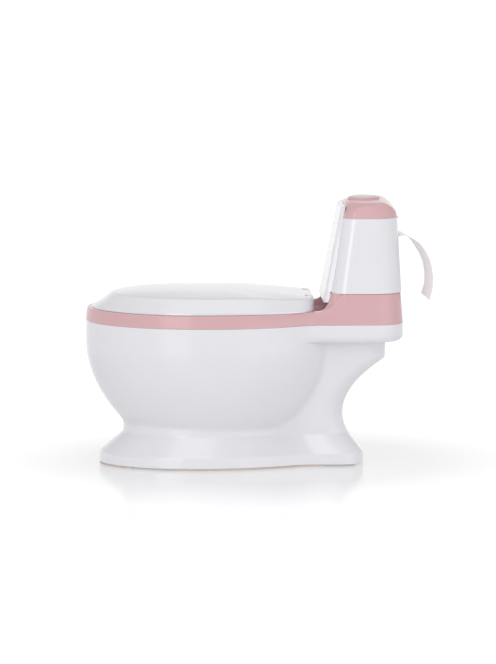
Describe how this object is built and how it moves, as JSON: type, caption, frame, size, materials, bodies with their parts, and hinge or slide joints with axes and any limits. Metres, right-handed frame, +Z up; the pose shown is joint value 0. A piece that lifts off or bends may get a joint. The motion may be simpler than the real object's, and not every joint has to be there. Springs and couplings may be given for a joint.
{
  "type": "potty training chair",
  "caption": "Toilet-shaped potty chair for toddlers: bowl base with seat ring, hinged lid, lift-out pot, and a small tank with a flush button and a paper roll.",
  "frame": {"origin": "on the floor, under the middle of the whole chair's bounding box", "axes": "+Z up, the front of the bowl faces -Y, the tank is at +Y, X runs across"},
  "size_m": [0.2408, 0.4041, 0.312],
  "materials": {
    "white_plastic": "glossy moulded polypropylene",
    "pink_plastic": "glossy moulded polypropylene, dusty pink",
    "button_plastic": "satin moulded plastic, pale grey",
    "foot_rubber": "matt soft rubber, tan",
    "steel": "plated steel",
    "inner_plastic": "matt moulded plastic",
    "circuit_board": "solder mask over fibreglass",
    "dark_plastic": "matt black plastic",
    "battery_jacket": "plain printed sleeve without lettering",
    "paper": "soft tissue paper, warm grey-white"
  },
  "bodies": {
    "root": {"base_shell": "white_plastic", "foot_strip_front": "foot_rubber", "foot_strip_left": "foot_rubber", "foot_strip_right": "foot_rubber", "seat_deck": "pink_plastic", "deck_screw_1": "steel", "deck_screw_2": "steel", "deck_screw_3": "steel", "deck_screw_4": "steel", "deck_screw_5": "steel", "lid_hinge_pin_left": "steel", "lid_hinge_pin_right": "steel", "tank_shell": "white_plastic", "tank_screw_1": "steel", "tank_screw_2": "steel", "tank_screw_3": "steel", "tank_screw_4": "steel", "tank_front_panel": "white_plastic", "cap_hinge_pin": "steel", "roll_axle": "inner_plastic", "paper_strip": "paper"},
    "pot": {"inner_pot": "white_plastic"},
    "lid": {"lid": "white_plastic", "lid_bumper_left": "foot_rubber", "lid_bumper_right": "foot_rubber"},
    "cap": {"tank_cap": "pink_plastic", "button_spring": "steel", "sound_module_case": "inner_plastic", "battery_cover": "inner_plastic", "speaker": "dark_plastic", "circuit_board": "circuit_board", "board_switch": "dark_plastic", "battery_1": "battery_jacket", "battery_2": "battery_jacket", "battery_contact_left": "steel", "battery_contact_right": "steel", "module_screw_1": "steel", "module_screw_2": "steel"},
    "button": {"flush_button": "button_plastic"},
    "roll": {"paper_roll": "paper"}
  },
  "joints": [
    {"name": "lid_hinge", "type": "hinge", "parent": "root", "child": "lid", "pos_m": [0, 0.057, 0.1945], "axis": [-1, 0, 0], "range_deg": [0, 100]},
    {"name": "cap_hinge", "type": "hinge", "parent": "root", "child": "cap", "pos_m": [0, 0.1577, 0.2886], "axis": [-1, 0, 0], "range_deg": [0, 100]},
    {"name": "flush_press", "type": "slide", "parent": "cap", "child": "button", "axis": [0, 0, -1], "range_m": [0, 0.003], "stiffness_N_per_m": 400, "springref_m": -0.004, "deforming": ["button_spring"]},
    {"name": "paper_spin", "type": "hinge", "parent": "root", "child": "roll", "pos_m": [0, 0.121, 0.234], "axis": [1, 0, 0], "continuous": true},
    {"name": "pot_lift", "type": "slide", "parent": "root", "child": "pot", "axis": [0, 0, 1], "range_m": [0, 0.008]}
  ]
}
